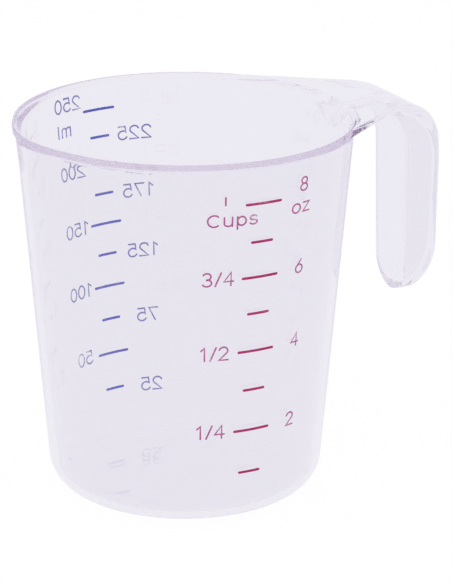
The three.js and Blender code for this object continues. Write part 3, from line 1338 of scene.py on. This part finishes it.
@dataclass
class FoilPrinter:
    """Lays foil strokes on the tapered wall.

    Attributes:
        bowl: The bowl that is printed.
        azimuth: Where the middle of the print stands.
        lift: Distance from the wall to the foil.
        thickness: Thickness of the foil.
        layer_step: How much higher each further stroke of a label lies.
        sharpest: Least share by which a corner's width is divided.
        cap_steps: Points round each half of a stroke's end.
        cap_blunt: Share of the stroke's width that its end keeps.
    """

    bowl: Bowl
    azimuth: float
    lift: float = 0.03
    thickness: float = 0.05
    layer_step: float = 0.004
    sharpest: float = 0.6
    cap_steps: int = 6
    cap_blunt: float = 0.08

    def on_wall(self, across: float, up: float, level: float, height: float) -> Point3:
        """Returns a point on the wall.

        Args:
            across: Distance along the wall from the scale's middle, to the reader's right.
            up: Distance above the level.
            level: Height of the line.
            height: Distance off the wall.

        Returns:
            The point in millimetres.
        """
        z = level + up
        radius = self.bowl.wall_radius(z)
        turn = self.azimuth + across / self.bowl.wall_radius(level)
        return ((radius + height) * math.cos(turn), (radius + height) * math.sin(turn), z)

    def stroke(
        self, maker: MeshMaker, path: Sequence[Point2], width: float, level: float, layer: int = 0
    ) -> None:
        """Adds one stroke of foil with round ends.

        Args:
            maker: The mesh that takes the stroke.
            path: Middle line of the stroke, as (across, up).
            width: Width of the stroke.
            level: Height of the line that it belongs to.
            layer: Number of the stroke in its label, so that crossing strokes don't share a face.
        """
        closed = math.dist(path[0], path[-1]) < TOUCH
        spine = [Vector(p) for p in (path[:-1] if closed else path)]
        count = len(spine)
        left, right = [], []
        for i, point in enumerate(spine):
            before = spine[i - 1] if closed or i else point
            after = spine[(i + 1) % count] if closed or i < count - 1 else point
            back = (point - before).normalized() if point != before else None
            on = (after - point).normalized() if after != point else back
            back = on if back is None else back
            way = (back + on).normalized()
            side = Vector((-way.y, way.x))
            stretch = 1 / max(side.dot(Vector((-on.y, on.x))), self.sharpest)
            left.append(point + side * width / 2 * stretch)
            right.append(point - side * width / 2 * stretch)
        if not closed:
            left, right = self.capped(spine, left, right, width)
        low = self.lift
        high = low + self.thickness + self.layer_step * layer
        rows = []
        for a, b in zip(left, right):
            corners = [(a, low), (b, low), (b, high), (a, high)]
            rows.append(maker.add_row([self.on_wall(p.x, p.y, level, h) for p, h in corners]))
        for a, b in pairwise(rows + rows[:1] if closed else rows):
            maker.bridge(a, b, closed=True)
        if not closed:
            maker.faces.append(tuple(rows[0]))
            maker.faces.append(tuple(rows[-1]))

    def capped(
        self, spine: Sequence[Vector], left: list[Vector], right: list[Vector], width: float
    ) -> tuple[list[Vector], list[Vector]]:
        """Returns both sides of a stroke carried on round its ends.

        Args:
            spine: Middle line of the stroke.
            left: Its left side.
            right: Its right side.
            width: Its width.

        Returns:
            The longer left and right sides.
        """
        start, end = spine[0] - spine[1], spine[-1] - spine[-2]
        heads: list[list[tuple[Vector, Vector]]] = []
        for tip, way in ((spine[0], start.normalized()), (spine[-1], end.normalized())):
            side = Vector((-way.y, way.x))
            cap = []
            for turn in spread(0.0, math.pi / 2, self.cap_steps)[1:]:
                out = tip + way * math.sin(turn) * width / 2
                wide = side * max(math.cos(turn), self.cap_blunt) * width / 2
                cap.append((out + wide, out - wide))
            heads.append(cap)
        first = [(b, a) for a, b in reversed(heads[0])]
        pairs = first + list(zip(left, right)) + heads[1]
        return [a for a, _ in pairs], [b for _, b in pairs]


@dataclass
class FillScale:
    """One printed scale: its lines, figures and unit words in one foil.

    Attributes:
        bowl: The bowl that is printed.
        slot: The record's material slot.
        line_ink: Foil of the lines.
        figure_ink: Foil of the figures and words.
        azimuth: Where the middle of the scale stands.
        line_names: CAD node of each line, by its marked volume in millilitres.
        long_lines: Volumes whose lines are long.
        labels: Figures and words.
        lean: How far the print leans along the wall, for each unit of height.
        upright_at: Height at which the lean moves nothing.
        long_line: Length of a long line.
        short_line: Length of a short line.
        line_width: Width of a line.
        line_points: Points along a line.
        figure_stroke: Width of a figure's stroke.
        capacity: Highest marked volume, in millilitres.
        brim_share: Share of the brim volume that it fills.
        inner_step: Largest turn between two levels of the inside.
        halvings: How often a level is halved in finding a line's height.
        sharp_angle: Edges that turn by more than this stay sharp.
    """

    bowl: Bowl
    slot: str
    line_ink: Ink
    figure_ink: Ink
    azimuth: float
    line_names: dict[float, str]
    long_lines: set[float]
    labels: list[Label]
    lean: float = 0.0
    upright_at: float = 30.0
    long_line: float = 8.7
    short_line: float = 5.3
    line_width: float = 0.6
    line_points: int = 15
    figure_stroke: float = 0.38
    capacity: float = 250.0
    brim_share: float = 0.8984
    inner_step: float = math.radians(3)
    halvings: int = 40
    sharp_angle: float = math.radians(60)

    def inner_levels(self) -> list[tuple[float, float, float]]:
        """Returns the jug's inside as (height, radius, volume below) in small steps.

        Returns:
            The levels, from the floor to the brim.
        """
        bowl = self.bowl
        floor = rounded_line(
            [
                (0.0, bowl.floor, 0.0),
                (bowl.wall_radius(bowl.floor) - bowl.wall, bowl.floor, bowl.foot_round - bowl.wall),
                (bowl.wall_radius(bowl.height) - bowl.wall, bowl.height, 0.0),
            ],
            self.inner_step,
        )
        levels, volume = [(floor[0][1], floor[0][0], 0.0)], 0.0
        for (r0, z0), (r1, z1) in pairwise(floor):
            volume += math.pi / 3 * (z1 - z0) * (r0 * r0 + r0 * r1 + r1 * r1)
            levels.append((z1, r1, volume))
        return levels

    def level(self, millilitres: float) -> float:
        """Returns the height to which a marked volume fills the jug.

        Args:
            millilitres: The volume.

        Returns:
            The height.

        Raises:
            ValueError: The jug is too small for the volume.
        """
        levels = self.inner_levels()
        target = millilitres / self.capacity * self.brim_share * levels[-1][2]
        for (z0, r0, v0), (z1, r1, v1) in pairwise(levels):
            if v0 <= target <= v1 and v1 > v0:
                low, high = 0.0, 1.0
                for _ in range(self.halvings):
                    share = (low + high) / 2
                    radius, rise = r0 + (r1 - r0) * share, (z1 - z0) * share
                    held = v0 + math.pi / 3 * rise * (r0 * r0 + r0 * radius + radius * radius)
                    low, high = (share, high) if held < target else (low, share)
                return z0 + (z1 - z0) * low
        raise ValueError(f"the jug doesn't hold {millilitres} ml")

    def shift(self, millilitres: float) -> float:
        """Returns how far the print's slight lean moves a line along the wall."""
        return self.lean * (self.level(millilitres) - self.upright_at)

    def build(self) -> list[tuple[bpy.types.Object, str | None]]:
        """Returns the scale's pieces, each with the CAD line that it stands for, if any.

        Returns:
            The pieces and the names of the CAD nodes.
        """
        printer = FoilPrinter(self.bowl, self.azimuth)
        made: list[tuple[bpy.types.Object, str | None]] = []
        for volume, node in self.line_names.items():
            maker = MeshMaker(f"{node}_foil")
            length = self.long_line if volume in self.long_lines else self.short_line
            half = (length - self.line_width) / 2
            middle = self.shift(volume)
            ends = middle - half, middle + half
            path = [(across, 0.0) for across in spread(*ends, self.line_points)]
            printer.stroke(maker, path, self.line_width, self.level(volume))
            made.append((maker.finish(self.sharp_angle), node))
        for label in self.labels:
            made.append((self.print_label(printer, label), None))
        return made

    def print_label(self, printer: FoilPrinter, label: Label) -> bpy.types.Object:
        """Returns one printed word or figure as an object.

        Args:
            printer: What lays its strokes on the wall.
            label: The word or figure.

        Returns:
            The new object.
        """
        maker = MeshMaker(label.name)
        glyphs = [Glyph(c) for c in label.text]
        advances = [ADVANCE.get(g, FIGURE_ADVANCE) * label.wide for g in glyphs]
        length = sum(advances) - LETTER_GAP * label.wide
        x = label.across + self.shift(label.line) - length / 2
        layer = 0
        for glyph, advance in zip(glyphs, advances):
            for path in STROKES[glyph]:
                placed = [
                    (x + u * label.wide, label.up + (v - 0.5) * label.tall)
                    for u, v in clipped(path, label.inked)
                ]
                printer.stroke(maker, placed, self.figure_stroke, self.level(label.line), layer)
                layer += 1
            x += advance
        return maker.finish(self.sharp_angle)

    def dress(
        self, pieces: list[tuple[bpy.types.Object, str | None]], patchy: bpy.types.NodeTree
    ) -> None:
        """Gives the lines and the figures their foil, uneven by the shared group.

        Args:
            pieces: The scale's pieces, each with the CAD line that it stands for, if any.
            patchy: The node group that makes uneven cover.
        """
        lines, figures = self.line_ink.material(patchy), self.figure_ink.material(patchy)
        for piece, node in pieces:
            dress_piece(piece, figures if node is None else lines, self.slot, node)


OUNCE_ML = 29.57
CUP_ML = 240.0
CUP_OUNCES = 8


def ounce_volume(ounces: int) -> float:
    """Returns the marked volume of an ounce line; the top line is one cup."""
    return CUP_ML if ounces == CUP_OUNCES else ounces * OUNCE_ML


def ounce_scale(bowl: Bowl) -> FillScale:
    """Returns the red scale of cups and ounces.

    Args:
        bowl: The bowl that is printed.

    Returns:
        The scale.
    """
    cups = [("3/4", 6, 0.35), ("1/2", 4, 0.2), ("1/4", 2, 0.4)]
    labels = [
        Label(f"cup_figure_{text.replace('/', '_')}", text, -9.6, up, ounce_volume(line))
        for text, line, up in cups
    ]
    labels.append(Label("cup_figure_1", "1", -9.0, 1.9, CUP_ML, inked=0.56))
    ounces = [("8", 8, 2.5), ("6", 6, 0.35), ("4", 4, 0.3), ("2", 2, 0.1)]
    labels += [
        Label(f"ounce_figure_{text}", text, 10.4, up, ounce_volume(line))
        for text, line, up in ounces
    ]
    labels.append(Label("cups_word", "Cups", -7.3, -3.1, CUP_ML, tall=2.6, wide=4.05))
    labels.append(Label("ounces_word", "oz", 9.6, -2.5, CUP_ML, tall=2.7, wide=4.15))
    return FillScale(
        bowl=bowl,
        slot="red_foil",
        line_ink=Ink("red_foil", (0.34, 0.01, 0.11), (0.44, 0.04, 0.19), bare=0.25),
        figure_ink=Ink("thin_red_foil", (0.38, 0.085, 0.25), (0.5, 0.19, 0.38), bare=0.6),
        azimuth=math.radians(-89),
        line_names={ounce_volume(n): f"ounce_line_{n}" for n in range(1, CUP_OUNCES + 1)},
        long_lines={ounce_volume(n) for n in range(2, CUP_OUNCES + 1, 2)},
        labels=labels,
        lean=0.007,
    )


def millilitre_scale(bowl: Bowl) -> FillScale:
    """Returns the blue scale of millilitres.

    Args:
        bowl: The bowl that is printed.

    Returns:
        The scale.
    """
    places = {
        25: (-10.0, -0.4),
        50: (9.0, 0.5),
        75: (-9.9, -0.35),
        100: (9.1, 0.3),
        125: (-9.6, -0.2),
        150: (9.0, 0.1),
        175: (-9.2, -0.3),
        200: (9.2, -0.3),
        225: (-9.1, 0.0),
        250: (9.2, 2.6),
    }
    labels = [
        Label(f"millilitre_figure_{volume}", str(volume), across, up, float(volume), wide=3.95)
        for volume, (across, up) in places.items()
    ]
    labels.append(Label("millilitres_word", "ml", 10.4, -3.3, 250.0, tall=2.7, wide=4.2))
    return FillScale(
        bowl=bowl,
        slot="blue_foil",
        line_ink=Ink("blue_foil", (0.012, 0.03, 0.47), (0.06, 0.085, 0.57), bare=0.25),
        figure_ink=Ink("thin_blue_foil", (0.16, 0.165, 0.46), (0.32, 0.32, 0.6), bare=0.75),
        azimuth=math.radians(98),
        line_names={float(v): f"millilitre_line_{v}" for v in range(25, 251, 25)},
        long_lines={float(v) for v in range(50, 251, 50)},
        labels=labels,
    )


@dataclass
class Studio:
    """White sweep, soft light and the camera at the photograph's view.

    Attributes:
        camera_place: Where the camera stands.
        heading: Way from the camera to the jug, from +Y towards +X.
        yaw: How far the camera turns past that.
        pitch: How far it looks down.
        roll: How far it leans.
        lens: Focal length.
        sensor: Width of the sensor.
        near: Nearest distance that the camera sees.
        far: Furthest distance that it sees.
        floor_size: Side of the floor.
        floor_drop: How far the floor lies below the jug.
        floor_colour: The floor as light finds it.
        floor_shade: Share of the shadow that the camera sees.
        floor_shade_through: Share of it that shows in the plastic.
        paper: Colour of the background that shows in the plastic.
        sky_level: Strength of the sky as light.
        key_power: Power of the lamp, in watts.
        key_size: Width of the lamp.
        key_place: Where the lamp hangs.
        key_aim: Where it points.
        light_depth: How often light may bounce or pass a face.
    """

    camera_place: Point3 = (-254.8, -534.2, 253.6)
    heading: float = math.radians(25.5)
    yaw: float = 0.0156
    pitch: float = 0.3397
    roll: float = 0.0051
    lens: float = 221.65
    sensor: float = 36.0
    near: float = 10.0
    far: float = 20000.0
    floor_size: float = 6000.0
    floor_drop: float = 0.2
    floor_colour: Colour = (0.97, 0.97, 0.97)
    floor_shade: float = 0.12
    floor_shade_through: float = 0.04
    paper: Colour = (0.89, 0.875, 0.925)
    sky_level: float = 0.94
    key_power: float = 2.4
    key_size: float = 1300.0
    key_place: Point3 = (-550.0, -450.0, 750.0)
    key_aim: Point3 = (0.0, 0.0, 40.0)
    light_depth: int = 1024

    def camera(self) -> None:
        """Adds the camera and makes it the scene's own."""
        data = bpy.data.cameras.new("photo_camera")
        data.sensor_fit = "HORIZONTAL"
        data.sensor_width = self.sensor
        data.lens = self.lens
        data.clip_start, data.clip_end = self.near * MM, self.far * MM
        made = bpy.data.objects.new("photo_camera", data)
        turn = self.yaw + self.heading
        level = math.cos(self.pitch)
        forward = Vector((math.sin(turn) * level, math.cos(turn) * level, -math.sin(self.pitch)))
        right = Vector((math.cos(turn), -math.sin(turn), 0.0))
        up = right.cross(forward)
        tilt_right = right * math.cos(self.roll) + up * math.sin(self.roll)
        tilt_up = up * math.cos(self.roll) - right * math.sin(self.roll)
        axes = Matrix((tilt_right, tilt_up, -forward)).transposed().to_4x4()
        made.matrix_world = Matrix.Translation(Vector(self.camera_place) * MM) @ axes
        bpy.context.scene.collection.objects.link(made)
        bpy.context.scene.camera = made

    def floor(self) -> None:
        """Adds the white floor, just below the jug's underside."""
        half, z = self.floor_size / 2, -self.floor_drop
        corners = [(-half, -half, z), (half, -half, z), (half, half, z), (-half, half, z)]
        mesh = bpy.data.meshes.new("floor")
        mesh.from_pydata([Vector(p) * MM for p in corners], [], [(0, 1, 2, 3)])
        made = bpy.data.objects.new("floor", mesh)
        bpy.context.scene.collection.objects.link(made)
        mesh.materials.append(self.floor_paint())

    def floor_paint(self) -> bpy.types.Material:
        """Returns the floor's material: the background with a share of the jug's shadow on it.

        Returns:
            The new material.
        """
        paint = new_material("floor_white")
        tree = paint.node_tree
        shader = tree.nodes["Principled BSDF"]
        matt = {"Base Color": self.floor_colour, "Roughness": 1.0, "Specular IOR Level": 0.0}
        feed(tree, shader, matt)
        through = {0: self.background_rays(tree), 1: 1 - self.floor_shade_through}
        direct = {
            0: add_node(tree, "LightPath", {})["Is Camera Ray"],
            1: self.floor_shade_through - self.floor_shade,
            2: add_node(tree, "Math", through, operation="MULTIPLY")["Value"],
        }
        mixed = {
            "Fac": add_node(tree, "Math", direct, operation="MULTIPLY_ADD")["Value"],
            1: shader.outputs["BSDF"],
            2: add_node(tree, "Emission", {"Color": self.background_colour(tree)})["Emission"],
        }
        surface = add_node(tree, "MixShader", mixed)["Shader"]
        feed(tree, tree.nodes["Material Output"], {"Surface": surface})
        return paint

    def background_rays(self, tree: bpy.types.NodeTree) -> bpy.types.NodeSocket:
        """Returns a value that is 1 for rays that show the background, in a view or in the plastic.

        Args:
            tree: The node tree that takes the nodes.

        Returns:
            The socket with the value.
        """
        path = add_node(tree, "LightPath", {})
        direct = {0: path["Is Camera Ray"], 1: path["Is Glossy Ray"]}
        seen = add_node(tree, "Math", direct, operation="MAXIMUM")["Value"]
        either = {0: seen, 1: path["Is Transmission Ray"]}
        return add_node(tree, "Math", either, operation="MAXIMUM")["Value"]

    def background_colour(self, tree: bpy.types.NodeTree) -> bpy.types.NodeSocket:
        """Returns the background's colour: white in a direct view, pale paper in the plastic.

        Args:
            tree: The node tree that takes the nodes.

        Returns:
            The socket with the colour.
        """
        direct = add_node(tree, "LightPath", {})["Is Camera Ray"]
        mixed = {"Factor": direct, "A": self.paper, "B": WHITE}
        return add_node(tree, "Mix", mixed, data_type="RGBA")["Result"]

    def world(self) -> None:
        """Adds the even sky: white to the camera and in the plastic, softer as light."""
        world = bpy.data.worlds.new("studio")
        world.use_nodes = True
        bpy.context.scene.world = world
        tree = world.node_tree
        light = tree.nodes["Background"]
        feed(tree, light, {"Color": WHITE, "Strength": self.sky_level})
        shown = {"Color": self.background_colour(tree)}
        mixed = {
            "Fac": self.background_rays(tree),
            1: light.outputs["Background"],
            2: add_node(tree, "Background", shown)["Background"],
        }
        surface = add_node(tree, "MixShader", mixed)["Shader"]
        feed(tree, tree.nodes["World Output"], {"Surface": surface})

    def key_light(self) -> None:
        """Adds one large soft lamp above and to the left of the camera."""
        data = bpy.data.lights.new("soft_key", "AREA")
        data.shape = "DISK"
        data.size = self.key_size * MM
        data.energy = self.key_power
        made = bpy.data.objects.new("soft_key", data)
        made.visible_camera = made.visible_glossy = made.visible_transmission = False
        hung = Vector(self.key_place) * MM
        turn = (Vector(self.key_aim) * MM - hung).to_track_quat("-Z", "Y")
        made.matrix_world = Matrix.Translation(hung) @ turn.to_matrix().to_4x4()
        bpy.context.scene.collection.objects.link(made)

    def build(self) -> None:
        """Sets up the whole studio, with light paths deep enough for the plastic's edges."""
        bpy.context.scene.view_settings.view_transform = "Standard"
        cycles = bpy.context.scene.cycles
        cycles.blur_glossy = 0.0
        cycles.max_bounces = cycles.glossy_bounces = cycles.transmission_bounces = self.light_depth
        self.camera()
        self.floor()
        self.world()
        self.key_light()


def main() -> None:
    """Builds the jug's pieces, dresses them and sets up the studio."""
    logging.basicConfig(level=logging.INFO, format="%(name)s: %(message)s")
    patchy = PatchyCover().group()
    moulding = Moulding()
    moulding.dress(moulding.build(), patchy)
    for scale in (ounce_scale(moulding.bowl), millilitre_scale(moulding.bowl)):
        scale.dress(scale.build(), patchy)
    Studio().build()


if __name__ == "__main__":
    main()
